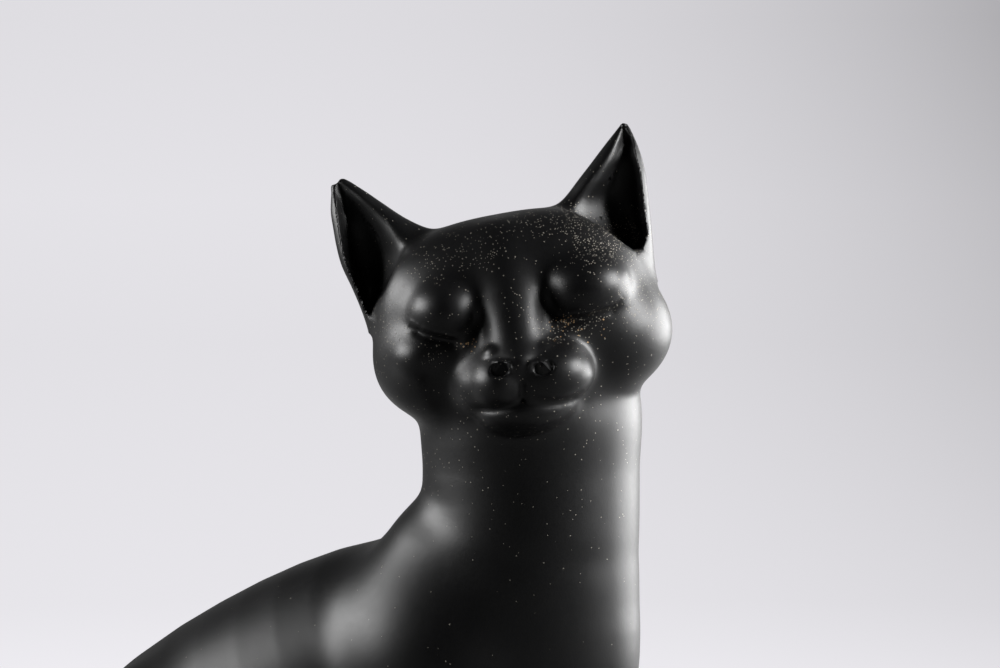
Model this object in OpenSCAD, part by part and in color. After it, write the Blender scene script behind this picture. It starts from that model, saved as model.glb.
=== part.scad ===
// Seated ceramic cat figurine: hollow castings luted together, closed below by a vented slab, on felt pads.
// Frame: +Z up, chest towards +X, face turned towards -Y, origin at the middle of the box's lowest face.

/* [Castings] */
// Wall of the hollow castings
wall = 4.5; // [3.5:0.5:6]
// Height of the joint between neck and head, above the table
seam_z = 153; // [150:1:155]
// Radius of the neck at that joint
neck_r = 24.6; // [23:0.2:26]
// Depth of the head's spigot in the neck
spigot_h = 6; // [4:1:8]

/* [Head] */
// How far the face is turned from the side of the body towards the chest, in degrees
head_turn = 28; // [0:1:45]
// Tilt of the head towards its right shoulder, in degrees
head_roll = 10.5; // [0:0.5:14]
// Nod of the head, in degrees, below 0 where the face is lifted
head_nod = -3; // [-6:1:6]
// Half the width of the head at the cheeks
cheek_r = 33.4; // [31:0.2:35]
// Height of the ear tips above the middle of the head
ear_tip_h = 39.5; // [36:0.5:42]

/* [Feet] */
// Thickness of the felt pads
pad_h = 2; // [1:0.5:3]
// Radius of the felt pads
pad_r = 5; // [4:0.5:6]
// Thickness of the slab that closes the bottom
slab_h = 5; // [4:0.5:6]
// Radius of the vent hole in the slab
vent_r = 5; // [3:0.5:6]

/* [Hidden] */
PADS = [[68, 13], [68, -13], [-48, 20], [-48, -20]]; // centres of the pads

round_sides = 48;  // sides of the body's and head's rings
limb_sides = 24;   // sides of the ears' and legs' rings
tail_sides = 12;   // sides of the tail's rings
fit_gap = 0.05;    // radial play of the head's spigot in the neck
neck_x = 57;       // middle of the neck, ahead of the body's own zero
vent_x = -20;      // middle of the vent hole
middle = [-2.2, -6.3]; // middle of the whole figure, which becomes the origin
ceramic = [0.05, 0.05, 0.055];
bisque = [0.16, 0.15, 0.15];
felt = [0.2, 0.2, 0.21];

// Body outline by height: [z, front x, back x, half width, how much wider behind than in front]
BODY = [
    [pad_h, 42, -66, 40, 0.20],
    [15, 45, -77, 46, 0.22],
    [32, 49, -83, 48, 0.24],
    [50, 54, -83, 46, 0.24],
    [68, 62, -77, 42, 0.22],
    [85, 73, -65, 38.5, 0.18],
    [102, 81, -47.5, 36, 0.14],
    [112, 82, -31.5, 34.5, 0.10],
    [121, 81.5, -14, 33, 0.08],
    [128, 81.5, 4, 30.5, 0.05],
    [134, 81.5, 19, 28, 0.03],
    [141, 81.5, 29.5, 25.8, 0],
    [147, neck_x + neck_r, neck_x - neck_r, neck_r, 0],
    [seam_z, neck_x + neck_r, neck_x - neck_r, neck_r, 0],
];

// Head outline by height above its middle: [u, half width, front, back, push of the muzzle]
HEAD = [
    [-19, 25, 22, -30, 5],
    [-12, 31.5, 24, -32, 8],
    [-5, cheek_r, 24, -33, 8],
    [3, cheek_r - 1.2, 23, -32.5, 3],
    [11, 30.5, 20, -30, 0],
    [18, 26, 14, -25, 0],
    [22.5, 16, 5, -17, 0],
    [24, 6, -3, -9, 0],
];

// Vectors and rings
function mix(a, b, t) = a + (b - a) * t;
function slope(table, i, k) =
    i == 0 || i == len(table) - 1 ? 0
    : (table[i + 1][k] - table[i - 1][k]) / (table[i + 1][0] - table[i - 1][0]);
// Smooth curve through column k of a table whose first column rises
function curve(table, h, k, i = 0) =
    i < len(table) - 2 && h > table[i + 1][0] ? curve(table, h, k, i + 1)
    : let (gap = table[i + 1][0] - table[i][0], t = max(0, min(1, (h - table[i][0]) / gap)))
      (1 + 2 * t) * pow(1 - t, 2) * table[i][k] + t * pow(1 - t, 2) * gap * slope(table, i, k)
      + t * t * (3 - 2 * t) * table[i + 1][k] + t * t * (t - 1) * gap * slope(table, i + 1, k);
function steps(from, to, n) = [for (i = [0:n]) mix(from, to, i / n)];
function backwards(list) = [for (i = [len(list) - 1:-1:0]) list[i]];
function unit(v) = v / norm(v);

// Closed skin over rings that all have the same number of points
module skin(rings, closed = false) {
    n = len(rings[0]);
    rows = len(rings);
    last = closed ? rows - 1 : rows - 2;
    sides = [for (i = [0:last], j = [0:n - 1])
        let (a = i * n + j, b = i * n + (j + 1) % n, up = ((i + 1) % rows) * n)
        each [[a, b, up + j], [b, up + (j + 1) % n, up + j]]];
    caps = closed ? [] : [
        [for (j = [n - 1:-1:0]) j],
        [for (j = [0:n - 1]) (rows - 1) * n + j],
    ];
    polyhedron(points = [for (r = rings, p = r) p], faces = [for (f = concat(sides, caps)) backwards(f)]);
}

// Body
function body_ring(z, inset = 0, lift = 0) =
    let (over = min(z + lift, seam_z),
         front = min(curve(BODY, z, 1), curve(BODY, over, 1)) - inset,
         back = max(curve(BODY, z, 2), curve(BODY, over, 2)) + inset,
         half = min(curve(BODY, z, 3), curve(BODY, over, 3)) - inset,
         egg = curve(BODY, z, 4))
    [for (j = [0:round_sides - 1]) let (t = 360 * j / round_sides)
        [(front + back) / 2 + (front - back) / 2 * cos(t), half * sin(t) * (1 - egg * cos(t)), z]];
function slab_outline() = [for (p = body_ring(pad_h, wall)) [p.x, p.y]];
function at_height(outline, z) = [for (p = outline) [p.x, p.y, z]];
function neck_ring(r, z) = [for (j = [0:round_sides - 1]) let (t = 360 * j / round_sides)
    [neck_x + r * cos(t), r * sin(t), z]];
function body_outside() = [for (z = concat(steps(pad_h, 100, 18), steps(103, seam_z, 16))) body_ring(z)];
function body_inside() = concat(
    [at_height(slab_outline(), pad_h), at_height(slab_outline(), pad_h + slab_h)],
    [for (z = steps(14, 140, 22)) body_ring(z, wall * 0.9, wall * 0.9)],
    [neck_ring(neck_r - wall, seam_z - spigot_h), neck_ring(neck_r - wall, seam_z)]);

module body_shell() {
    color(ceramic) skin(concat(body_outside(), backwards(body_inside())), closed = true);
}
module body_solid() {
    skin(body_outside());
}

// Head: axes of the turned, tilted and nodding head
level_side = [cos(head_turn), sin(head_turn), 0];
level_front = [sin(head_turn), -cos(head_turn), 0];
head_side = level_side * cos(head_roll) + [0, 0, 1] * sin(head_roll);
tilted_up = [0, 0, 1] * cos(head_roll) - level_side * sin(head_roll);
head_front = level_front * cos(head_nod) - tilted_up * sin(head_nod);
head_up = tilted_up * cos(head_nod) + level_front * sin(head_nod);
head_mid = [neck_x + 0.5, -8.8, 182.2];

function in_head(p) = head_mid + p.x * head_side + p.y * head_front + p.z * head_up;
function head_ring(u, inset = 0) =
    let (half = curve(HEAD, u, 1) - inset, front = curve(HEAD, u, 2) - inset,
         back = curve(HEAD, u, 3) + inset, push = curve(HEAD, u, 4))
    [for (j = [0:round_sides - 1]) let (t = 360 * j / round_sides - head_turn, ahead = -sin(t))
        in_head([half * cos(t), (front + back) / 2 + (front - back) / 2 * ahead
            + push * pow(max(0, ahead), 6), u])];
function head_outside() = concat(
    [neck_ring(neck_r, seam_z), neck_ring(neck_r, seam_z + 3)],
    [for (u = steps(-19, 22.5, 17)) head_ring(u)], [head_ring(24)]);
function head_inside() = concat(
    [neck_ring(neck_r - wall - fit_gap, seam_z), neck_ring(neck_r - wall - fit_gap, seam_z - spigot_h),
     neck_ring(neck_r - 2 * wall, seam_z - spigot_h), neck_ring(neck_r - 2 * wall, seam_z + 4)],
    [for (u = steps(-14, 14, 9)) head_ring(u, wall)], [head_ring(18.5, wall + 3)]);

module head_shell() {
    color(ceramic) skin(concat(backwards(head_inside()), head_outside()));
}
module head_solid() {
    skin(head_outside());
}

// Ears: cupped leaves, hollow in front, luted to the head
EAR = [ // [share of the height, half width, depth of the back, depth of the front, below 0 where cupped]
    [0, 12, 9, 7],
    [0.3, 10.4, 7.5, 1],
    [0.5, 8.4, 6, -2],
    [0.75, 5, 3.8, -1],
    [0.92, 2.2, 2, 0.3],
    [1, 0.8, 0.8, 0.8],
];
function ear_ring(side, s) =
    let (root = [side * 21, -6, 10], tip = [side * 33, -9, ear_tip_h],
         axis = unit(tip - root), across = unit(cross([0, 1, 0], axis)), mid = mix(root, tip, s),
         half = curve(EAR, s, 1), back = curve(EAR, s, 2), front = curve(EAR, s, 3))
    [for (j = [0:limb_sides - 1]) let (t = -360 * j / limb_sides)
        in_head(mid + across * half * cos(t)
            + [0, 1, 0] * sin(t) * (sin(t) > 0 ? front : back))];
module ear(side) {
    color(ceramic) difference() {
        skin([for (s = steps(0, 1, 14)) ear_ring(side, s)]);
        head_solid();
    }
}

// Limbs of the left side by height: [z, x, y, half length, half width]
FORELEG = [
    [pad_h, 68, 13, 14, 9],
    [7, 68, 13, 17, 11],
    [13, 66, 13, 15, 10.5],
    [20, 62, 13.5, 11, 9.5],
    [45, 61, 14.5, 11, 10],
    [75, 62, 16, 13.5, 12.5],
    [92, 62, 16.5, 13, 13],
    [104, 58, 14, 10, 9],
];
HIND_PAW = [
    [pad_h, 20, 37, 27, 10],
    [7, 20, 37, 30, 12],
    [14, 16, 37, 26, 10.5],
    [20, 8, 37, 14, 6],
];
function limb_ring(s) = [for (j = [0:limb_sides - 1]) let (t = 360 * j / limb_sides)
    [s[0] + s[3] * cos(t), s[1] + s[4] * sin(t), s[2]]];
function limb_rings(table, n) = [for (z = steps(table[0][0], table[len(table) - 1][0], n))
    limb_ring([curve(table, z, 1), curve(table, z, 2), z, curve(table, z, 3), curve(table, z, 4)])];
module on_side(side) {
    if (side > 0) children();
    else mirror([0, 1, 0]) children();
}
module foreleg_solid(side) {
    on_side(side) skin(limb_rings(FORELEG, 22));
}
module hind_paw_solid(side) {
    on_side(side) skin(limb_rings(HIND_PAW, 10));
}
module foreleg(side) {
    color(ceramic) difference() {
        foreleg_solid(side);
        body_solid();
    }
}
module hind_paw(side) {
    color(ceramic) difference() {
        hind_paw_solid(side);
        body_solid();
    }
}

// Tail: a tapering tube laid round the right side of the body: [share of the length, x, y, z, radius]
TAIL = [
    [0, -70, 6, 16, 8],
    [0.12, -84, -14, 12, 9],
    [0.26, -74, -36, 11, 9],
    [0.42, -42, -50, 10.5, 9],
    [0.60, -3, -53.5, 10, 8.5],
    [0.75, 30, -51.5, 9.5, 8],
    [0.87, 55, -42, 9, 7],
    [0.94, 72, -32, 8, 6],
    [1, 85, -21, 7, 4.5],
];
function tail_at(s) = [curve(TAIL, s, 1), curve(TAIL, s, 2), curve(TAIL, s, 3)];
function tail_ring(s) =
    let (mid = tail_at(s), along = unit(tail_at(min(1, s + 0.01)) - tail_at(max(0, s - 0.01))),
         across = unit(cross([0, 0, 1], along)), up = cross(along, across), r = curve(TAIL, s, 4))
    [for (j = [0:tail_sides - 1]) let (t = 360 * j / tail_sides)
        mid + r * cos(t) * across + r * sin(t) * up];
module tail() {
    color(ceramic) difference() {
        skin([for (s = steps(0, 1, 36)) tail_ring(s)]);
        body_solid();
        hind_paw_solid(-1);
        foreleg_solid(-1);
        translate([-200, -200, pad_h - 100]) cube([400, 400, 100]);
    }
}

// Slab that closes the bottom, with the vent hole
module base_slab() {
    color(bisque) difference() {
        translate([0, 0, pad_h]) linear_extrude(height = slab_h) polygon(slab_outline());
        translate([vent_x, 0, 0]) cylinder(r = vent_r, h = 3 * slab_h, $fn = 64);
    }
}

module felt_pad(i) {
    color(felt) translate([PADS[i].x, PADS[i].y, 0]) cylinder(r = pad_r, h = pad_h, $fn = 64);
}

// Everything is drawn about the body's own zero, then moved so that the origin is under its middle
module placed() {
    translate([-middle.x, -middle.y, 0]) children();
}

placed() body_shell();
placed() head_shell();
placed() ear(1);  // ear_left
placed() ear(-1);  // ear_right
placed() foreleg(1);  // foreleg_left
placed() foreleg(-1);  // foreleg_right
placed() hind_paw(1);  // hind_paw_left
placed() hind_paw(-1);  // hind_paw_right
placed() tail();
placed() base_slab();
for (i = [0:len(PADS) - 1])
    placed() felt_pad(i);
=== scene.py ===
import math

import bmesh
import bpy
import numpy as np
from mathutils import Matrix, Vector


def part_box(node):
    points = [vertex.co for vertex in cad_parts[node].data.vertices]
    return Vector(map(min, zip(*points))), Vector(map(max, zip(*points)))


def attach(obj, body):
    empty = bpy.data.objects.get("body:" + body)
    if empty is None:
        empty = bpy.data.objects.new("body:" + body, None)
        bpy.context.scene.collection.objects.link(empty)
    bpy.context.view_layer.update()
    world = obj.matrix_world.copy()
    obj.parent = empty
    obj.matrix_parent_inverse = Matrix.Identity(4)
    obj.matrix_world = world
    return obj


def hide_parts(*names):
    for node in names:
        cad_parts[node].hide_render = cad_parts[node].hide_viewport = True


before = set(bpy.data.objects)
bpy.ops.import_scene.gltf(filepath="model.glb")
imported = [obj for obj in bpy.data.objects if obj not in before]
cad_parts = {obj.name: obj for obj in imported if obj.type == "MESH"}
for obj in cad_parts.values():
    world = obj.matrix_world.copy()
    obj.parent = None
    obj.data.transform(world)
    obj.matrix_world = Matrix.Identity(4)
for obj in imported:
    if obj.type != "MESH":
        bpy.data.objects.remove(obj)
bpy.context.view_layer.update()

scene = bpy.context.scene
mm = 0.001

# The figure's own axes, in millimetres: +X the chest, +Y its left side, zero on the table under the hips
trunkLow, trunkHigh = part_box("body_shell")
seamHeight = trunkHigh.z / mm                  # joint between neck and head
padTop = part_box("felt_pad_1")[1].z / mm
chestReach = 82
ownZero = Vector((trunkHigh.x - chestReach * mm, (trunkLow.y + trunkHigh.y) / 2, 0))
toFrame = Matrix.Translation(ownZero) @ Matrix.Scale(mm, 4)

headPose = {
    "mid": (57.5, -8.8, seamHeight + 29.2),
    "turn": 28,      # degrees from the figure's right side towards the chest
    "roll": 10.5,    # towards its right shoulder
    "lift": 3,       # of the face
}


def headAxes():
    turn, roll, lift = (math.radians(headPose[key]) for key in ("turn", "roll", "lift"))
    levelSide = Vector((math.cos(turn), math.sin(turn), 0))
    levelFront = Vector((math.sin(turn), -math.cos(turn), 0))
    side = levelSide * math.cos(roll) + Vector((0, 0, 1)) * math.sin(roll)
    tiltedUp = Vector((0, 0, 1)) * math.cos(roll) - levelSide * math.sin(roll)
    front = levelFront * math.cos(lift) + tiltedUp * math.sin(lift)
    up = tiltedUp * math.cos(lift) - levelFront * math.sin(lift)
    return np.array([side, front, up])


headRows = headAxes()                          # side, front and up, one in each row
headMid = np.array(headPose["mid"])
headMatrix = Matrix.Translation(headMid) @ Matrix(headRows.T.tolist()).to_4x4()


def inHead(points):
    return (points - headMid) @ headRows.T


# Clay: soft shapes that run into each other. Each gives every point's distance from its skin.

def join(a, b, soft):
    h = np.maximum(soft - np.abs(a - b), 0) / soft
    return np.minimum(a, b) - h * h * h * soft / 6


def carve(a, b, soft):
    return -join(-a, b, soft)


def ball(points, at, size, power=2):
    rel = np.abs((points - np.array(at)) / np.array(size)) + 1e-6
    near = (rel ** power).sum(1) ** (1 / power)
    steep = near ** (1 - power) * np.sqrt(((rel ** (power - 1) / np.array(size)) ** 2).sum(1))
    return (near - 1) / steep


def limb(points, start, end, thick, thin):
    # a ball that changes size on its way
    start, along = np.array(start, float), np.array(end, float) - np.array(start, float)
    length = np.sqrt(along @ along)
    taper = (thick - thin) / length
    ahead = (points - start) @ along / length
    aside = np.sqrt(np.maximum(((points - start) ** 2).sum(1) - ahead * ahead, 0))
    share = np.clip((ahead - aside * taper / np.sqrt(1 - taper * taper)) / length, 0, 1)
    gap = points - start - share[:, None] * along
    return np.sqrt((gap * gap).sum(1)) - (thick + (thin - thick) * share)


def atHeight(levels, height):
    # smooth curves through the levels' columns
    table = np.array(levels, float)
    at, values = table[:, 0], table[:, 1:]
    slopes = np.gradient(values, at, axis=0)
    i = np.clip(np.searchsorted(at, height) - 1, 0, len(at) - 2)
    gap = (at[i + 1] - at[i])[:, None]
    t = np.clip((height - at[i])[:, None] / gap, 0, 1)
    return ((1 + 2 * t) * (1 - t) ** 2 * values[i] + t * (1 - t) ** 2 * gap * slopes[i]
            + t * t * (3 - 2 * t) * values[i + 1] + t * t * (t - 1) * gap * slopes[i + 1])


def column(points, levels):
    # levels: height, centre x, centre y, half x, half y, how much wider behind than in front
    def gapAt(height):
        x, y, halfX, halfY, egg = atHeight(levels, height).T
        a = (points[:, 0] - x) / halfX
        b = (points[:, 1] - y) / (halfY * (1 - egg * np.clip(a, -1, 1)))
        away = np.hypot(points[:, 0] - x, points[:, 1] - y) + 1e-6
        return away - away / (np.hypot(a, b) + 1e-6)
    height = points[:, 2]
    gap = gapAt(height)
    gap = gap / np.sqrt(1 + (gapAt(height + 0.5) - gap) ** 2 * 4)
    return np.maximum(gap, np.maximum(levels[0][0] - height, height - levels[-1][0]))


def spot(distance):
    # 1 in the middle, 0 from a distance of 1 on
    return np.clip(1 - distance * distance, 0, 1) ** 2


def stroke(points, path, width):
    # 1 along a line of short straight stretches, fading to both sides and towards its ends
    path = [np.array(point, float) for point in path]
    whole = sum(np.hypot(*(b - a)) for a, b in zip(path[:-1], path[1:]))
    nearest, place, done = np.full(len(points), 1e9), np.zeros(len(points)), 0
    for a, b in zip(path[:-1], path[1:]):
        along = b - a
        share = np.clip(((points - a) @ along) / (along @ along), 0, 1)
        gap = points - a - share[:, None] * along
        away = np.hypot(gap[:, 0], gap[:, 1])
        place = np.where(away < nearest, (done + share * np.hypot(*along)) / whole, place)
        nearest = np.minimum(nearest, away)
        done += np.hypot(*along)
    fade = np.clip(np.minimum(place, 1 - place) * 5 + 0.05, 0, 1)
    return fade * np.exp(-(nearest / width) ** 2)


# Head: lumps and strokes in the head's axes (side, front, up)
head = {
    "lumps": [       # place, size, softness where it joins what comes before
        ((0.3, -6, 3), (31, 25, 21.5), 1),                # skull, which comes first
        ((0.9, -5, -6.5), (32, 24, 15.5), 8),             # face
        ((-17.5, -4, -4.5), (14.2, 17, 13.5), 8),         # cheeks
        ((20, -2.5, -6), (13.2, 16.5, 12.5), 8),
        ((0, -2, -12), (23, 18, 12), 8),                  # jaw
        ((-20.6, 9.6, -3.6), (7, 8.6, 6), 5.5),           # apple of the right cheek
        ((-0.5, 13.6, -12), (15.6, 12, 9.8), 4.5),        # root of the muzzle
        ((-14.2, 13, 5.2), (8.2, 9.2, 7.2), 4.6),         # closed lids over the eyeballs
        ((16.2, 12.2, 4.4), (10.2, 10.6, 8.2), 4.4),
        ((-5.4, 20.5, -12.2), (6.2, 7.5, 6.2), 3),        # whisker pads
        ((4.8, 18.2, -12.6), (10.2, 9.6, 7.4), 3),
        ((-0.6, 14.4, -18.2), (11.2, 10.8, 6.6), 1.6),    # chin
    ],
    "skullPower": 2.6,      # squarer than the other lumps
    "bridge": [      # start, end, their radii
        ((-0.2, 8, 13), (-0.2, 14.4, 4), 9, 7.6),
        ((-0.2, 14.4, 4), (-0.8, 20.2, -7.5), 7.6, 6),
    ],
    "bridgeSoft": 4.5,
    "nose": [
        ((-0.7, 23.6, -8.8), (3.6, 4.4, 2.8), 3),     # tip
        ((-5.5, 22.3, -6.1), (2.4, 2.6, 2), 1.2),     # wings
        ((4.6, 22.3, -7.5), (2.4, 2.6, 2), 1.2),
    ],
    "hollows": [     # nostrils
        ((-5, 27.6, -9.6), (2.1, 3.6, 1.6), 0.8),
        ((4.3, 27.6, -10.9), (2.1, 3.6, 1.6), 0.8),
    ],
    "chips": [       # knocked off the right ear's tip: place, size
        ((-34.7, -7.5, 39.1), (1.5, 3, 1.2)),
        ((-32.4, -6.2, 39.4), (1.1, 2, 0.9)),
    ],
    "dents": [       # place (side, up), reach, depth
        ((8.2, 2), (2.4, 5), 1),            # sockets beside the bridge
        ((-8.2, 1.5), (2.2, 4), 0.7),
        ((17.5, -12.5), (4, 6), 0.5),       # beside the muzzle
        ((-18, -12), (3, 6), 0.6),
    ],
    "strokes": [     # path (side, up), half width, depth
        # under the lids
        ([(-22.8, 3.5), (-20.3, 1.2), (-17.6, -0.5), (-14.5, -1.8), (-11.5, -3)], 1.2, 0.7),
        ([(8.6, -2.8), (12.5, -2.4), (16.9, -2), (20.7, -1.4), (24, 0)], 1.2, 0.7),
        # their edges
        ([(-22.8, 4.7), (-20.3, 2.4), (-17.6, 0.8), (-14.5, -0.6), (-11.5, -1.8)], 0.5, -0.35),
        ([(8.6, -1.6), (12.5, -1.1), (16.9, -0.8), (20.7, -0.2), (24, 1.1)], 0.5, -0.35),
        # mouth, and the groove from it to the nose
        ([(-15.8, -14), (-14.2, -15.5), (-12.2, -16.7), (-10, -17.6), (-8, -18), (-4.5, -18.1), (-1.8, -18),
          (1.4, -18.6), (4.2, -19), (6.5, -19.1), (8.7, -18.8), (12.5, -17.3), (15, -15.4)], 1.05, 0.5),
        ([(-0.8, -12.5), (-1.5, -17.8)], 0.9, 0.6),
        # nostril rims
        ([(-6.1, -7.8), (-3.1, -8.3), (-2.4, -10.7)], 0.5, -0.5),
        ([(1.1, -11.4), (1.8, -9.5), (3.9, -9.3), (5.6, -10)], 0.5, -0.5),
    ],
}

ears = {             # named from the front
    "right": {       # levels: height, centre side, centre front, half side, half front, egg
        "shell": [(4, -21.5, -6, 11, 9, 0), (14, -23.4, -5, 11.3, 7.6, 0), (20, -24.6, -5, 11.6, 6.4, 0),
                  (24, -26.2, -5.2, 10.3, 5.6, 0), (28, -28.6, -5.6, 7.9, 4.8, 0),
                  (32, -30.6, -6.4, 5.8, 3.8, 0), (36, -32.2, -7.4, 3.4, 2.6, 0),
                  (38, -33.1, -8, 2.1, 1.7, 0), (39, -33.3, -8, 1, 0.9, 0)],
        "cup": [(7.5, -31.6, 1, 0.5, 4, 0.3), (10, -31, 1, 1.8, 7, 0.3), (14, -29.4, 1.5, 4.3, 7.8, 0.4),
                (18.7, -28.9, 1.5, 6.1, 8.3, 0.45), (24, -29.2, 1.3, 6.2, 8, 0.45),
                (29, -30, 0.5, 5.4, 6.8, 0.4), (34, -31.9, -2, 3.1, 4.8, 0.3),
                (37, -33.4, -5, 1.3, 2, 0), (38, -33.5, -6, 0.4, 1, 0)],
        "cut": ((-22, 0, 17), (-0.6, 0, 0.8)),
    },
    "left": {
        "shell": [(4, 21.5, -6, 11, 9, 0), (14, 22.7, -5, 11.2, 7.6, 0), (20, 23.4, -5, 11, 6.4, 0),
                  (24, 24.8, -5.2, 9.9, 5.6, 0), (28, 26.9, -5.6, 8, 4.8, 0),
                  (32, 29, -6.4, 5.7, 3.8, 0), (36, 30.8, -7.4, 3.2, 2.6, 0),
                  (38.6, 31.9, -8, 1.4, 1.4, 0), (39.7, 32.2, -8, 0.6, 0.6, 0)],
        "cup": [(11, 29.6, 1, 1, 5, -0.3), (14, 28.1, 1.5, 4.6, 7.8, -0.4), (18, 26.1, 1.5, 7, 8.3, -0.5),
                (24, 25.9, 1.3, 7.9, 8, -0.5), (28, 28.1, 0.5, 5.9, 6.8, -0.45),
                (32, 30, -1, 3.7, 5.2, -0.35), (36, 31.8, -4.6, 1.6, 3, -0.2), (38.4, 32, -6.4, 0.4, 1, 0)],
        "cut": ((22, 0, 17), (0.6, 0, 0.8)),
    },
}


def headClay(points):
    p = inHead(points)
    face = p[:, [0, 2]]
    ahead = np.clip((p[:, 1] - 2) / 8, 0, 1)
    (skullAt, skullSize, first), *rest = head["lumps"]
    gap = ball(p, skullAt, skullSize, head["skullPower"])
    for at, size, soft in rest:
        gap = join(gap, ball(p, at, size), soft)
    bridge = np.minimum(*(limb(p, *stretch) for stretch in head["bridge"]))
    gap = join(gap, bridge, head["bridgeSoft"])
    for at, size, soft in head["nose"]:
        gap = join(gap, ball(p, at, size), soft)
    for at, size, soft in head["hollows"]:
        gap = carve(gap, ball(p, at, size), soft)
    for at, reach, depth in head["dents"]:
        away = (face - np.array(at)) / np.array(reach)
        gap = gap + depth * ahead * np.exp(-(away * away).sum(1))
    for path, width, depth in head["strokes"]:
        gap = gap + depth * ahead * stroke(face, path, width)
    for ear in ears.values():
        gap = join(gap, column(p, ear["shell"]), 5)
        cupMid = atHeight(ear["cup"], p[:, 2])[:, 0]
        # thin rim outside, soft edge inside
        inward = np.clip((np.abs(cupMid) - np.abs(p[:, 0]) + 3) / 8, 0, 1)
        gap = carve(gap, column(p, ear["cup"]), 0.7 + 4.3 * inward)
    for at, size in head["chips"]:
        gap = carve(gap, ball(p, at, size), 0.3)
    return gap


# Trunk with neck, shoulders, haunches and forelegs, in the figure's own axes
def levelsFrom(outline):
    # outline: height, front, back, half width, egg
    return [(z, (front + back) / 2, 0, (front - back) / 2, half, egg)
            for z, front, back, half, egg in outline]


neckMid, neckRadius = 57, 24.6
trunk = {
    "outline": [
        (padTop, 40, -66, 38, 0.2), (15, 43, -77, 43, 0.2), (32, 46, -83, 44, 0.2), (50, 50, -83, 42, 0.18),
        (68, 60, -74, 37, 0.12), (85, 76, -54, 33, 0.06), (102, 82, -28, 30, 0),
        (112, 82.4, -10, 28, -0.05), (119, 82, 4, 27, -0.05), (125, 81.8, 16, 26, -0.03),
        (130, 81.6, 24, 25.2, 0), (135, 81.6, 30, 24.8, 0), (141, 81.6, 32.4, 24.6, 0),
        (148, neckMid + neckRadius, neckMid - neckRadius, neckRadius, 0),
        # rounded off inside the head
        (165, 81.6, 33, 24.4, 0), (174, 79, 38, 20.5, 0), (182, 73, 46, 13, 0), (187, 66, 53, 6, 0),
    ],
    "barrel": [      # along the back: x, z, radius
        (25.3, 100.4, 30.7), (17.3, 96.2, 32.7), (10.4, 91.5, 34.7), (3, 86, 36.7), (-4.9, 79.7, 38.7),
        (-12.6, 73, 40.7), (-21.2, 64.9, 42.7), (-30, 52, 44),
    ],
    "shoulder": [    # of the left side: start, end, their radii, softness
        ((43, 6, 124.5), (40, 5, 106), 19.5, 27.5, 7),
        ((40, 5, 106), (44, 9, 76), 27.5, 22, 8),
    ],
    "haunch": ((-26, 22, 50), (42, 25, 50), 7),
    "foreleg": [(padTop, 68, 13, 14, 9, 0), (7, 68, 13, 17, 11, 0), (13, 66, 13, 15, 10.5, 0),
                (20, 62, 13.5, 11, 9.5, 0), (45, 61, 14.5, 11, 10, 0), (75, 62, 16, 13.5, 12, 0),
                (92, 62, 16, 13, 12, 0), (104, 58, 14, 10, 9, 0)],
    "forelegSoft": 6,
}


def trunkClay(points):
    mirrored = points * np.array([1, np.nan, 1])
    mirrored[:, 1] = np.abs(points[:, 1])
    gap = column(points, levelsFrom(trunk["outline"]))
    barrel = np.full(len(points), 1e9)
    for (x, z, radius), (nextX, nextZ, nextRadius) in zip(trunk["barrel"][:-1], trunk["barrel"][1:]):
        barrel = np.minimum(barrel, limb(points, (x, 0, z), (nextX, 0, nextZ), radius, nextRadius))
    gap = join(gap, barrel, 4)
    for start, end, thick, thin, soft in trunk["shoulder"]:
        gap = join(gap, limb(mirrored, start, end, thick, thin), soft)
    at, size, soft = trunk["haunch"]
    gap = join(gap, ball(mirrored, at, size), soft)
    gap = join(gap, column(mirrored, trunk["foreleg"]), trunk["forelegSoft"])
    return carve(gap, points[:, 2] - padTop, 2)


def figureClay(points):
    return join(trunkClay(points), headClay(points), 5)


# Roughing in and settling
def newMesh(name):
    return bpy.data.meshes.new(name), bmesh.new()


def roughBall(bm, matrix, at, size):
    bmesh.ops.create_icosphere(bm, subdivisions=3, radius=1,
                               matrix=matrix @ Matrix.Translation(at) @ Matrix.Diagonal((*size, 1)))


def roughLimb(bm, matrix, start, end, thick, thin, balls=6):
    for i in range(balls + 1):
        share = i / balls
        radius = thick + (thin - thick) * share
        roughBall(bm, matrix, Vector(start).lerp(Vector(end), share), (radius,) * 3)


def roughColumn(bm, matrix, levels, side=1):
    rings = []
    for height, x, y, halfX, halfY, egg in levels:
        place = Matrix.Translation((x, side * y, height)) @ Matrix.Diagonal((halfX, halfY, 1, 1))
        ring = bmesh.ops.create_circle(bm, segments=40, radius=1, matrix=matrix @ place)["verts"]
        rings.append({edge for vert in ring for edge in vert.link_edges})
    for lower, upper in zip(rings[:-1], rings[1:]):
        bmesh.ops.bridge_loops(bm, edges=list(lower | upper))
    bmesh.ops.holes_fill(bm, edges=list(rings[0] | rings[-1]))


def remeshed(obj, voxel):
    remesh = obj.modifiers.new("remesh", "REMESH")
    remesh.mode = "VOXEL"
    remesh.voxel_size = voxel
    graph = bpy.context.evaluated_depsgraph_get()
    mesh = bpy.data.meshes.new_from_object(obj.evaluated_get(graph))
    obj.modifiers.clear()
    obj.data = mesh


def verticesOf(mesh):
    co = np.empty(len(mesh.vertices) * 3, np.float32)
    mesh.vertices.foreach_get("co", co)
    return co.reshape(-1, 3).astype(float)


def slopeOf(clay, points, step=0.05):
    corners = np.array([(1, -1, -1), (-1, -1, 1), (-1, 1, -1), (1, 1, 1)], float)
    return sum(corner * clay(points + corner * step)[:, None] for corner in corners) / (4 * step)


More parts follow.
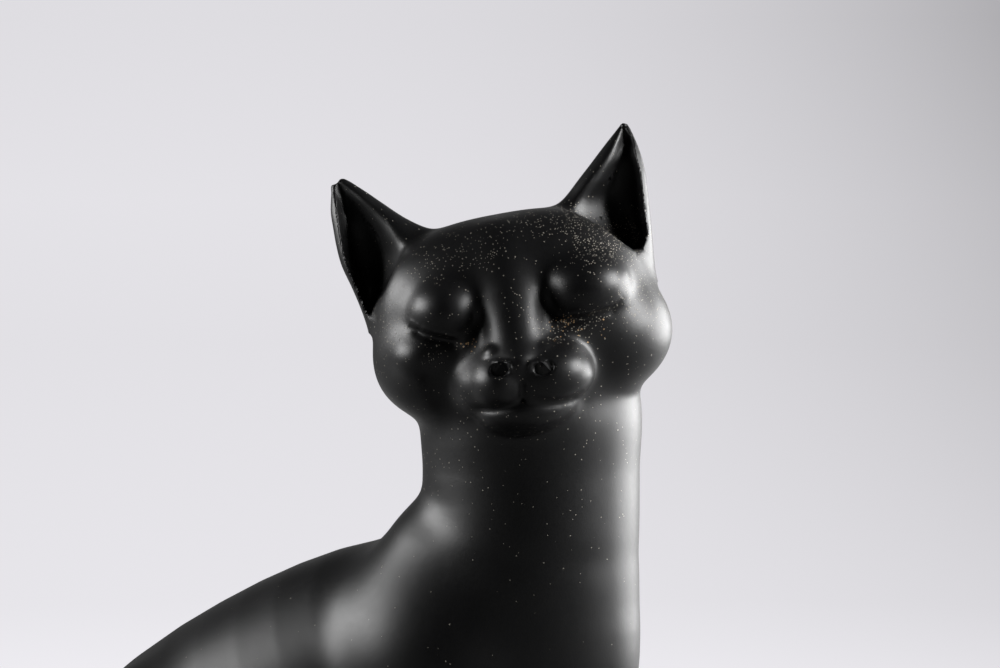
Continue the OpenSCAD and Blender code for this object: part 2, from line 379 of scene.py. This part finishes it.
def settle(obj, clay, rounds, relax, held=None):
    # moves each vertex on to the clay's skin, smoothing between the rounds
    for i in range(rounds):
        if i < relax:
            bm = bmesh.new()
            bm.from_mesh(obj.data)
            bmesh.ops.smooth_vert(bm, verts=bm.verts, factor=0.5, use_axis_x=True, use_axis_y=True,
                                  use_axis_z=True)
            bm.to_mesh(obj.data)
            bm.free()
        points = verticesOf(obj.data)
        free = np.ones(len(points), bool) if held is None else ~held(points)
        gap, slope = clay(points[free]), slopeOf(clay, points[free])
        push = gap / np.maximum((slope * slope).sum(1), 0.2)
        points[free] -= np.clip(push, -1.5, 1.5)[:, None] * slope
        obj.data.vertices.foreach_set("co", points.astype(np.float32).ravel())
    obj.data.update()


def applyBoolean(obj, cutter, operation):
    boolean = obj.modifiers.new("boolean", "BOOLEAN")
    boolean.object = cutter
    boolean.operation = operation
    boolean.solver = "EXACT"
    graph = bpy.context.evaluated_depsgraph_get()
    mesh = bpy.data.meshes.new_from_object(obj.evaluated_get(graph))
    obj.modifiers.clear()
    obj.data = mesh
    bpy.data.objects.remove(cutter)


def sliced(source, name, cuts):
    # cuts: point on the plane, direction of the side that goes away
    bm = bmesh.new()
    bm.from_mesh(source.data)
    for at, away in cuts:
        geom = bm.verts[:] + bm.edges[:] + bm.faces[:]
        done = bmesh.ops.bisect_plane(bm, geom=geom, plane_co=at, plane_no=away, clear_outer=True)
        rim = [part for part in done["geom_cut"] if isinstance(part, bmesh.types.BMEdge)]
        cap = bmesh.ops.holes_fill(bm, edges=rim, sides=0)["faces"]
        bmesh.ops.triangulate(bm, faces=cap)
    mesh = bpy.data.meshes.new(name)
    bm.to_mesh(mesh)
    bm.free()
    obj = bpy.data.objects.new(name, mesh)
    scene.collection.objects.link(obj)
    return obj


def roughObject(name, rough):
    mesh, bm = newMesh(name)
    rough(bm)
    bm.to_mesh(mesh)
    bm.free()
    obj = bpy.data.objects.new(name, mesh)
    scene.collection.objects.link(obj)
    return obj


def refine(obj, clay, voxel, held=None):
    remeshed(obj, voxel)
    settle(obj, clay, 7, 4, held)
    print(f"settled {obj.name} at {voxel} mm: {len(obj.data.polygons)} faces")


def roughHead(bm):
    for at, size, soft in head["lumps"]:
        roughBall(bm, headMatrix, at, size)
    for stretch in head["bridge"]:
        roughLimb(bm, headMatrix, *stretch)
    for at, size, soft in head["nose"]:
        roughBall(bm, headMatrix, at, size)
    for ear in ears.values():
        roughColumn(bm, headMatrix, ear["shell"])
    roughColumn(bm, Matrix(), levelsFrom([row for row in trunk["outline"] if row[0] > 124]))


def roughTrunk(bm):
    roughColumn(bm, Matrix(), [row for row in levelsFrom(trunk["outline"]) if row[0] < 150]
                + [(seamHeight + 9, neckMid, 0, neckRadius, neckRadius, 0)])
    for x, z, radius in trunk["barrel"]:
        roughBall(bm, Matrix(), (x, 0, z), (radius,) * 3)
    for side in (1, -1):
        flip = Matrix.Diagonal((1, side, 1, 1))
        for start, end, thick, thin, soft in trunk["shoulder"]:
            roughLimb(bm, flip, start, end, thick, thin)
        roughBall(bm, flip, *trunk["haunch"][:2])
        roughColumn(bm, flip, trunk["foreleg"])


earCuts = {}         # point on the plane between head and ear, direction towards the ear
for side, ear in ears.items():
    at, away = ear["cut"]
    earCuts[side] = (headMatrix @ Vector(at), headMatrix.to_3x3() @ Vector(away).normalized())
detail = {"first": 0.9, "head": 0.6, "ear": 0.45}
detail |= {"trunk": (2.5, 1.2), "tail": 1.5, "paw": 1.2}
overlap = {"belowSeam": 12, "aboveSeam": 4, "ear": 4, "earHeld": 1.5}     # of the skins, before they are split


def underNeck(points):
    return points[:, 2] < seamHeight - overlap["belowSeam"]


headSkin = roughObject("headSkin", roughHead)
remeshed(headSkin, detail["first"])
for side, ear in ears.items():
    cup = roughObject("cup", lambda bm: roughColumn(bm, headMatrix, ear["cup"]))
    applyBoolean(headSkin, cup, "DIFFERENCE")
refine(headSkin, figureClay, detail["first"], underNeck)
earSkins = {}
for side, (at, away) in earCuts.items():
    lower = at - away * overlap["ear"]
    earSkins[side] = sliced(headSkin, f"earSkin{side}", [(lower, -away)])
    refine(earSkins[side], figureClay, detail["ear"],
           lambda points: (points - np.array(lower)) @ np.array(away) < overlap["earHeld"])
refine(headSkin, figureClay, detail["head"], underNeck)
trunkSkin = roughObject("trunkSkin", roughTrunk)
for voxel in detail["trunk"]:
    refine(trunkSkin, figureClay, voxel, lambda points: points[:, 2] > seamHeight + overlap["aboveSeam"])

# Hind paws and tail are luted on, so they keep a crease
hindPaw = [(padTop, 20, 37, 27, 10, 0), (7, 20, 37, 30, 12, 0), (14, 16, 37, 26, 10.5, 0),
           (20, 8, 37, 14, 6, 0)]

tailSpine = [        # height along the tail, x, y, z, radius
    (0, -70, 6, 18, 9), (16, -80, -6, 13, 9.5), (31, -83, -20, 11.5, 9.5), (46, -77, -34, 11, 9.3),
    (64, -63, -45, 11, 9), (86, -42, -51, 10.5, 9), (108, -20, -54, 10.5, 8.6), (132, 4, -55, 10, 8.3),
    (154, 26, -53, 10, 8), (173, 44, -47, 9.5, 7.6), (191, 60, -39, 9, 7), (206, 73, -31, 8, 6),
    (218, 82, -23.5, 7.2, 4.8),
]
tailBeads = atHeight(tailSpine, np.linspace(0, tailSpine[-1][0], 90))


def tailClay(points):
    gap = np.full(len(points), 1e9)
    for a, b in zip(tailBeads[:-1], tailBeads[1:]):
        gap = np.minimum(gap, limb(points, a[:3], b[:3], a[3], b[3]))
    return carve(gap, points[:, 2] - padTop, 2)


def roughTail(bm):
    for x, y, z, radius in tailBeads:
        roughBall(bm, Matrix(), (x, y, z), (radius,) * 3)


def pawClay(side):
    def clay(points):
        flipped = points * np.array([1, side, 1])
        return carve(column(flipped, hindPaw), points[:, 2] - padTop, 2)
    return clay


tailSkin = roughObject("tailSkin", roughTail)
refine(tailSkin, tailClay, detail["tail"])
pawSkins = {}
for side in (1, -1):
    flip = Matrix.Diagonal((1, side, 1, 1))
    pawSkins[side] = roughObject("hindPaw", lambda bm: roughColumn(bm, flip, hindPaw))
    refine(pawSkins[side], pawClay(side), detail["paw"])


# Splitting the skin into its castings
def withBox(obj, low, high, operation):
    low, high = Vector(low), Vector(high)
    mesh, bm = newMesh("cutter")
    bmesh.ops.create_cube(bm, size=1, matrix=Matrix.Translation((low + high) / 2)
                          @ Matrix.Diagonal((*(high - low), 1)))
    bm.to_mesh(mesh)
    bm.free()
    cutter = bpy.data.objects.new("cutter", mesh)
    scene.collection.objects.link(cutter)
    applyBoolean(obj, cutter, operation)


def faceNormals(mesh):
    normals = np.empty(len(mesh.polygons) * 3, np.float32)
    mesh.polygons.foreach_get("normal", normals)
    return normals.reshape(-1, 3)


def finishSkin(obj, clay):
    # normals from the clay, so that castings meet without a shaded edge; caps stay flat
    mesh = obj.data
    points = verticesOf(mesh)
    slope = slopeOf(clay, points)
    slope /= np.linalg.norm(slope, axis=1)[:, None] + 1e-9
    onSkin = np.abs(clay(points)) < 0.1
    loopVert = np.empty(len(mesh.loops), np.int32)
    mesh.loops.foreach_get("vertex_index", loopVert)
    sizes = np.empty(len(mesh.polygons), np.int32)
    mesh.polygons.foreach_get("loop_total", sizes)
    flat = np.repeat(faceNormals(mesh), sizes, axis=0)
    smooth = slope[loopVert]
    good = onSkin[loopVert] & ((flat * smooth).sum(1) > 0.3)
    mesh.polygons.foreach_set("use_smooth", np.ones(len(mesh.polygons), bool))
    mesh.normals_split_custom_set(np.where(good[:, None], smooth, flat).astype(np.float32).tolist())
    mesh.transform(toFrame)


# Dust lies where it settled, in the head's axes: place (side, up), reach, how thick
dust = {
    "white": [
        ((24, 14), (9, 6), 1), ((17, 19), (5, 5), 0.8), ((-12, 16), (8, 5), 0.5), ((-3, 16), (5, 4), 0.5),
        ((13, -3.5), (8, 3), 0.8), ((27, 0), (6, 6), 0.6), ((8, 20), (10, 3), 0.4), ((-27, 5), (4, 6), 0.4),
        ((-17, -3), (7, 3), 0.35), ((1, 4), (3, 5), 0.25), ((0, 0), (40, 40), 0.09),
    ],
    "gold": [((10.2, -2.2), (2.4, 1.3), 1), ((-10.6, -3), (2.2, 1.2), 1), ((14, -4.5), (5, 2.5), 0.2)],
}
dustEverywhere = 0.005      # of the white


def sprinkle(obj):
    points = verticesOf(obj.data)
    onHead = inHead(points)
    for kind, places in dust.items():
        amount = np.zeros(len(points))
        for at, reach, thick in places:
            away = (onHead[:, [0, 2]] - np.array(at)) / np.array(reach)
            amount = np.maximum(amount, thick * np.exp(-(away * away).sum(1)))
        amount *= np.clip((onHead[:, 1] + 12) / 6, 0, 1)
        if kind == "white":
            amount = np.maximum(amount, dustEverywhere)
        layer = obj.data.attributes.new(f"{kind}Dust", "FLOAT", "POINT")
        layer.data.foreach_set("value", amount.astype(np.float32))


neckCut = Vector((neckMid, 0, seamHeight))
pieces = {}
pieces["head"] = sliced(headSkin, "head", [(neckCut, Vector((0, 0, -1)))] + list(earCuts.values()))
for side, (at, away) in earCuts.items():
    pieces[f"ear_{side}"] = sliced(earSkins[side], f"ear_{side}Casting", [(at, -away)])
trunkPiece = sliced(trunkSkin, "trunk", [(neckCut, Vector((0, 0, 1)))])
legBox = {"back": 49, "front": 120, "top": 74, "reach": 60}
for side, low, high in (("left", 0, legBox["reach"]), ("right", -legBox["reach"], 0)):
    leg = sliced(trunkSkin, f"foreleg_{side}Casting", [])
    withBox(leg, (legBox["back"], low, -10), (legBox["front"], high, legBox["top"]), "INTERSECT")
    pieces[f"foreleg_{side}"] = leg
withBox(trunkPiece, (legBox["back"], -legBox["reach"], -10),
        (legBox["front"], legBox["reach"], legBox["top"]), "DIFFERENCE")
pieces["trunk"] = trunkPiece
for old in (headSkin, trunkSkin, *earSkins.values()):
    bpy.data.objects.remove(old)
pieces["tail"] = tailSkin
pieces["hind_paw_left"], pieces["hind_paw_right"] = pawSkins[1], pawSkins[-1]
print("split into castings:", ", ".join(pieces))
# recess for the slab that closes the foot
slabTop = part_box("base_slab")[1].z / mm
slabMesh, slabForm = newMesh("recess")
slabForm.from_mesh(bpy.data.objects["base_slab"].data)
bmesh.ops.transform(slabForm, matrix=toFrame.inverted(), verts=slabForm.verts)
for vert in slabForm.verts:
    vert.co.z = slabTop + 0.05 if vert.co.z > (slabTop + padTop) / 2 else padTop - 5
bmesh.ops.delete(slabForm, geom=slabForm.edges[:] + slabForm.faces[:], context="EDGES_FACES")
bmesh.ops.remove_doubles(slabForm, verts=slabForm.verts, dist=0.01)
hull = bmesh.ops.convex_hull(slabForm, input=slabForm.verts)
bmesh.ops.delete(slabForm, geom=list({*hull["geom_interior"], *hull["geom_unused"]}), context="VERTS")
slabMid = sum((vert.co for vert in slabForm.verts), Vector()) / len(slabForm.verts)
bmesh.ops.scale(slabForm, vec=(1.004, 1.004, 1), verts=slabForm.verts, space=Matrix.Translation(-slabMid))
bmesh.ops.recalc_face_normals(slabForm, faces=slabForm.faces)
slabForm.to_mesh(slabMesh)
slabForm.free()
recess = bpy.data.objects.new("recess", slabMesh)
scene.collection.objects.link(recess)
applyBoolean(trunkPiece, recess, "DIFFERENCE")
ownClay = {"tail": tailClay, "hind_paw_left": pawClay(1), "hind_paw_right": pawClay(-1)}
for name, piece in pieces.items():
    sprinkle(piece)
    finishSkin(piece, ownClay.get(name, figureClay))
    piece.name = f"{name}_casting"


# Materials
class Recipe:
    def __init__(self, name):
        self.material = bpy.data.materials.new(name)
        self.material.use_nodes = True
        self.nodes, self.links = self.material.node_tree.nodes, self.material.node_tree.links
        self.skin = self.nodes["Principled BSDF"]
        self.place = self.nodes.new("ShaderNodeTexCoord").outputs["Object"]

    def node(self, kind, inputs=None, **settings):
        made = self.nodes.new(f"ShaderNode{kind}")
        for name, value in settings.items():
            setattr(made, name, value)
        for socket, value in (inputs or {}).items():
            if isinstance(value, bpy.types.NodeSocket):
                self.links.new(value, made.inputs[socket])
            else:
                made.inputs[socket].default_value = value
        return made

    def noise(self, scale, octaves=2):
        made = self.node("TexNoise", {"Vector": self.place, "Scale": scale, "Detail": octaves})
        return made.outputs["Fac"]

    def math(self, operation, first, second):
        return self.node("Math", {0: first, 1: second}, operation=operation).outputs["Value"]

    def remap(self, value, low, high, newLow, newHigh):
        return self.node("MapRange", {"Value": value, "From Min": low, "From Max": high, "To Min": newLow,
                                      "To Max": newHigh}).outputs["Result"]

    def mixed(self, share, first, second):
        made = self.node("Mix", {"Factor": share}, data_type="RGBA")
        for socket, value in ((made.inputs[6], first), (made.inputs[7], second)):
            if isinstance(value, bpy.types.NodeSocket):
                self.links.new(value, socket)
            else:
                socket.default_value = value
        return made.outputs[2]

    def bump(self, height, distance):
        made = self.node("Bump", {"Height": height, "Distance": distance, "Strength": 1.0})
        self.links.new(made.outputs["Normal"], self.skin.inputs["Normal"])

    def feed(self, **sockets):
        for name, value in sockets.items():
            socket = self.skin.inputs[name.replace("_", " ")]
            if isinstance(value, bpy.types.NodeSocket):
                self.links.new(value, socket)
            else:
                socket.default_value = value

    def specks(self, scale, layer, often, size):
        # small grains: one in each cell that the layer's thickness lets through
        cell = self.node("TexVoronoi", {"Vector": self.place, "Scale": scale})
        lot = self.node("SeparateColor", {"Color": cell.outputs["Color"]})
        thick = self.node("Attribute", attribute_name=layer).outputs["Fac"]
        chosen = self.math("LESS_THAN", lot.outputs["Red"], self.math("MULTIPLY", thick, often))
        grain = self.math("LESS_THAN", cell.outputs["Distance"],
                          self.remap(lot.outputs["Green"], 0, 1, size * 0.5, size))
        return self.math("MULTIPLY", chosen, grain)


def satinCeramic():
    glaze = Recipe("satinBlackCeramic")
    white = glaze.math("MAXIMUM", glaze.specks(2300, "whiteDust", 0.85, 0.34),
                       glaze.specks(1100, "whiteDust", 0.25, 0.2))
    gold = glaze.specks(1900, "goldDust", 0.9, 0.42)
    clouded = glaze.remap(glaze.noise(90, 4), 0.3, 0.7, 0.0, 1.0)
    ground = glaze.mixed(clouded, (0.0052, 0.0052, 0.0057, 1), (0.0075, 0.0075, 0.008, 1))
    dusted = glaze.mixed(white, ground, (0.42, 0.39, 0.33, 1))
    glaze.feed(Base_Color=glaze.mixed(gold, dusted, (0.62, 0.4, 0.2, 1)))
    dull = glaze.remap(glaze.math("ADD", glaze.noise(55, 3), glaze.math("MULTIPLY", glaze.noise(900), 0.6)),
                       0.5, 1.1, 0.37, 0.45)
    glaze.feed(Roughness=glaze.math("ADD", dull, glaze.math("MULTIPLY", white, 0.3)))
    grain = glaze.math("ADD", glaze.noise(2600), glaze.math("MULTIPLY", glaze.noise(350, 3), 1.6))
    grains = glaze.math("MULTIPLY", glaze.math("MAXIMUM", white, gold), 4)
    glaze.bump(glaze.math("ADD", grain, grains), 0.000012)
    return glaze.material


def bisque():
    body = Recipe("bisque")
    body.feed(Base_Color=body.mixed(body.noise(260, 4), (0.50, 0.42, 0.34, 1), (0.66, 0.59, 0.50, 1)),
              Roughness=body.remap(body.noise(700), 0.3, 0.7, 0.8, 0.95))
    body.bump(body.noise(1400, 3), 0.00008)
    return body.material


def felt():
    wool = Recipe("felt")
    fibres = wool.node("TexNoise", {"Vector": wool.place, "Scale": 2400, "Detail": 4, "Distortion": 2})
    tone = wool.mixed(fibres.outputs["Fac"], (0.012, 0.012, 0.013, 1), (0.05, 0.05, 0.052, 1))
    wool.feed(Base_Color=tone, Roughness=0.95, Sheen_Weight=0.3)
    wool.bump(fibres.outputs["Fac"], 0.0002)
    return wool.material


glazed = satinCeramic()
stands = {"head": "head_shell", "trunk": "body_shell"}
for name, piece in pieces.items():
    piece.data.materials.clear()
    piece.data.materials.append(glazed)
    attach(piece, "root")
    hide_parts(stands.get(name, name))
underside = {"base_slab": bisque(), "felt_pad_": felt()}
for node in [obj for obj in scene.objects if obj.type == "MESH" and obj.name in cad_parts]:
    for start, material in underside.items():
        if node.name.startswith(start):
            for slot in node.material_slots:
                slot.material = material
print("glaze, bisque and felt given")


# Room, lights and camera
view = {"azimuth": 28, "elevation": 3, "away": 0.628, "lens": 100, "level": 0.179}
azimuth, elevation = math.radians(view["azimuth"]), math.radians(view["elevation"])
rightward = Vector((math.cos(azimuth), math.sin(azimuth), 0))
towards = Vector((math.sin(azimuth) * math.cos(elevation), -math.cos(azimuth) * math.cos(elevation),
                  math.sin(elevation)))
neckAxis = toFrame @ Vector((neckMid, 0, 0))
target = neckAxis - rightward * 0.00706 + Vector((0, 0, view["level"]))

cameraData = bpy.data.cameras.new("camera")
cameraData.lens = view["lens"]
camera = bpy.data.objects.new("camera", cameraData)
camera.location = target + towards * view["away"]
camera.rotation_euler = towards.to_track_quat("Z", "Y").to_euler()
scene.collection.objects.link(camera)
scene.camera = camera


def softbox(name, angle, away, height, size, power):
    # angle is to the right of the camera, seen from the figure
    level = Vector((towards.x, towards.y, 0)).normalized()
    turned = math.radians(angle)
    direction = level * math.cos(turned) + rightward * math.sin(turned)
    data = bpy.data.lights.new(name, "AREA")
    data.shape = "RECTANGLE"
    data.size, data.size_y = size
    data.energy = power
    lamp = bpy.data.objects.new(name, data)
    place = target + direction * away
    place.z = height
    lamp.location = place
    lamp.rotation_euler = (place - target).to_track_quat("Z", "Y").to_euler()
    lamp.visible_camera = False
    scene.collection.objects.link(lamp)


softbox("rightSoftbox", 82, 0.85, 0.5, (0.5, 0.5), 13)
softbox("rightReflector", 120, 0.85, 0.22, (0.7, 0.4), 8.5)
softbox("leftSoftbox", -95, 0.9, 0.42, (0.7, 0.42), 8.5)


def backdropTone(nodes, links, direction):
    # pale backdrop with painted shading: darker to the right and upwards, brighter low down
    def sideways(vector):
        dot = nodes.new("ShaderNodeVectorMath")
        dot.operation = "DOT_PRODUCT"
        dot.inputs[1].default_value = vector
        links.new(direction, dot.inputs[0])
        return dot.outputs["Value"]

    def remap(value, low, high, newLow, newHigh):
        node = nodes.new("ShaderNodeMapRange")
        for name, number in (("From Min", low), ("From Max", high), ("To Min", newLow),
                             ("To Max", newHigh)):
            node.inputs[name].default_value = number
        links.new(value, node.inputs["Value"])
        return node.outputs["Result"]

    def calculate(operation, first, second):
        node = nodes.new("ShaderNodeMath")
        node.operation = operation
        for socket, value in zip(node.inputs, (first, second)):
            if isinstance(value, (int, float)):
                socket.default_value = value
            else:
                links.new(value, socket)
        return node.outputs["Value"]

    height = sideways((0, 0, 1))
    ramp = nodes.new("ShaderNodeValToRGB")
    stops = [(0, 0.85), (0.1, 0.80), (0.5, 0.76), (0.72, 0.775), (1, 0.735)]
    while len(ramp.color_ramp.elements) < len(stops):
        ramp.color_ramp.elements.new(0.5)
    for element, (place, tone) in zip(ramp.color_ramp.elements, stops):
        element.position = place
        element.color = (tone, tone * 0.985, tone * 1.03, 1)
    links.new(remap(height, -0.17, 0.06, 0, 1), ramp.inputs["Fac"])
    across = calculate("POWER", remap(sideways(tuple(rightward)), -0.178, 0.178, 0, 1), 3)
    fall = calculate("MULTIPLY", across, remap(height, -0.24, 0.06, 0, 0.42))
    shade = calculate("SUBTRACT", 1, fall)
    tone = nodes.new("ShaderNodeVectorMath")
    tone.operation = "SCALE"
    links.new(ramp.outputs["Color"], tone.inputs[0])
    links.new(shade, tone.inputs["Scale"])
    return tone.outputs["Vector"]


def behindness(nodes, links, direction, low, high):
    # glow that rises behind the figure, as seen from the camera; on the floor it is painted light
    dot = nodes.new("ShaderNodeVectorMath")
    dot.operation = "DOT_PRODUCT"
    dot.inputs[1].default_value = (-towards.x, -towards.y, 0)
    links.new(direction, dot.inputs[0])
    rise = nodes.new("ShaderNodeMapRange")
    rise.interpolation_type = "SMOOTHSTEP"
    for name, number in (("From Min", low), ("From Max", high), ("To Min", 0.012), ("To Max", 0.75)):
        rise.inputs[name].default_value = number
    links.new(dot.outputs["Value"], rise.inputs["Value"])
    strength = rise.outputs["Result"]
    for vector, start, end, share in ((tuple(rightward), 0.4, -0.5, 0.12), ((0, 0, 1), 0.15, 0.6, 0.1)):
        # but little of it to the left and overhead
        aside = nodes.new("ShaderNodeVectorMath")
        aside.operation = "DOT_PRODUCT"
        aside.inputs[1].default_value = vector
        links.new(direction, aside.inputs[0])
        left = nodes.new("ShaderNodeMapRange")
        for name, number in (("From Min", start), ("From Max", end), ("To Min", 1), ("To Max", share)):
            left.inputs[name].default_value = number
        links.new(aside.outputs["Value"], left.inputs["Value"])
        times = nodes.new("ShaderNodeMath")
        times.operation = "MULTIPLY"
        links.new(strength, times.inputs[0])
        links.new(left.outputs["Result"], times.inputs[1])
        strength = times.outputs["Value"]
    return strength


def paleFloor():
    mesh, bm = newMesh("floor")
    bmesh.ops.create_circle(bm, cap_ends=True, segments=96, radius=60)
    bm.to_mesh(mesh)
    bm.free()
    floor = bpy.data.objects.new("floor", mesh)
    scene.collection.objects.link(floor)
    material = bpy.data.materials.new("paleFloor")
    material.use_nodes = True
    nodes, links = material.node_tree.nodes, material.node_tree.links
    near = nodes["Principled BSDF"]
    near.inputs["Base Color"].default_value = (0.5, 0.495, 0.51, 1)
    near.inputs["Roughness"].default_value = 0.6
    place = nodes.new("ShaderNodeTexCoord")
    fromEye = nodes.new("ShaderNodeVectorMath")
    fromEye.operation = "SUBTRACT"
    fromEye.inputs[1].default_value = camera.location
    links.new(place.outputs["Object"], fromEye.inputs[0])
    direction = nodes.new("ShaderNodeVectorMath")
    direction.operation = "NORMALIZE"
    links.new(fromEye.outputs["Vector"], direction.inputs[0])
    # far off, the floor glows with the backdrop's painted shading instead of taking light
    far = nodes.new("ShaderNodeEmission")
    links.new(backdropTone(nodes, links, direction.outputs["Vector"]), far.inputs["Color"])
    away = nodes.new("ShaderNodeVectorMath")
    away.operation = "LENGTH"
    links.new(place.outputs["Object"], away.inputs[0])
    fade = nodes.new("ShaderNodeMapRange")
    fade.interpolation_type = "SMOOTHSTEP"
    fade.inputs["From Min"].default_value = 0.2
    fade.inputs["From Max"].default_value = 0.56
    links.new(away.outputs["Value"], fade.inputs["Value"])
    seen = nodes.new("ShaderNodeMixShader")
    links.new(fade.outputs["Result"], seen.inputs["Fac"])
    links.new(near.outputs["BSDF"], seen.inputs[1])
    links.new(far.outputs["Emission"], seen.inputs[2])
    # the studio is dark in front of the figure, so that its face reflects little: for all but camera rays the
    # floor is painted dark grey, and it glows behind the figure, painted light that the figure reflects
    grey = nodes.new("ShaderNodeBsdfDiffuse")
    grey.inputs["Color"].default_value = (0.12, 0.12, 0.12, 1)
    glow = nodes.new("ShaderNodeEmission")
    links.new(behindness(nodes, links, place.outputs["Object"], -0.1, 0.5), glow.inputs["Strength"])
    given = nodes.new("ShaderNodeAddShader")
    links.new(grey.outputs["BSDF"], given.inputs[0])
    links.new(glow.outputs["Emission"], given.inputs[1])
    path = nodes.new("ShaderNodeLightPath")
    mix = nodes.new("ShaderNodeMixShader")
    links.new(path.outputs["Is Camera Ray"], mix.inputs["Fac"])
    links.new(given.outputs["Shader"], mix.inputs[1])
    links.new(seen.outputs["Shader"], mix.inputs[2])
    links.new(mix.outputs["Shader"], nodes["Material Output"].inputs["Surface"])
    mesh.materials.append(material)


def roomLight():
    world = bpy.data.worlds.new("studio")
    scene.world = world
    world.use_nodes = True
    nodes, links = world.node_tree.nodes, world.node_tree.links
    nodes.clear()
    out = nodes.new("ShaderNodeOutputWorld")
    coordinates = nodes.new("ShaderNodeTexCoord")
    seen = nodes.new("ShaderNodeBackground")
    links.new(backdropTone(nodes, links, coordinates.outputs["Generated"]), seen.inputs["Color"])
    lit = nodes.new("ShaderNodeBackground")
    path = nodes.new("ShaderNodeLightPath")
    mix = nodes.new("ShaderNodeMixShader")
    links.new(behindness(nodes, links, coordinates.outputs["Generated"], 0, 0.7), lit.inputs["Strength"])
    links.new(path.outputs["Is Camera Ray"], mix.inputs["Fac"])
    links.new(lit.outputs["Background"], mix.inputs[1])
    links.new(seen.outputs["Background"], mix.inputs[2])
    links.new(mix.outputs["Shader"], out.inputs["Surface"])


paleFloor()
roomLight()
scene.view_settings.view_transform = "Standard"
print("room, lights and camera set")
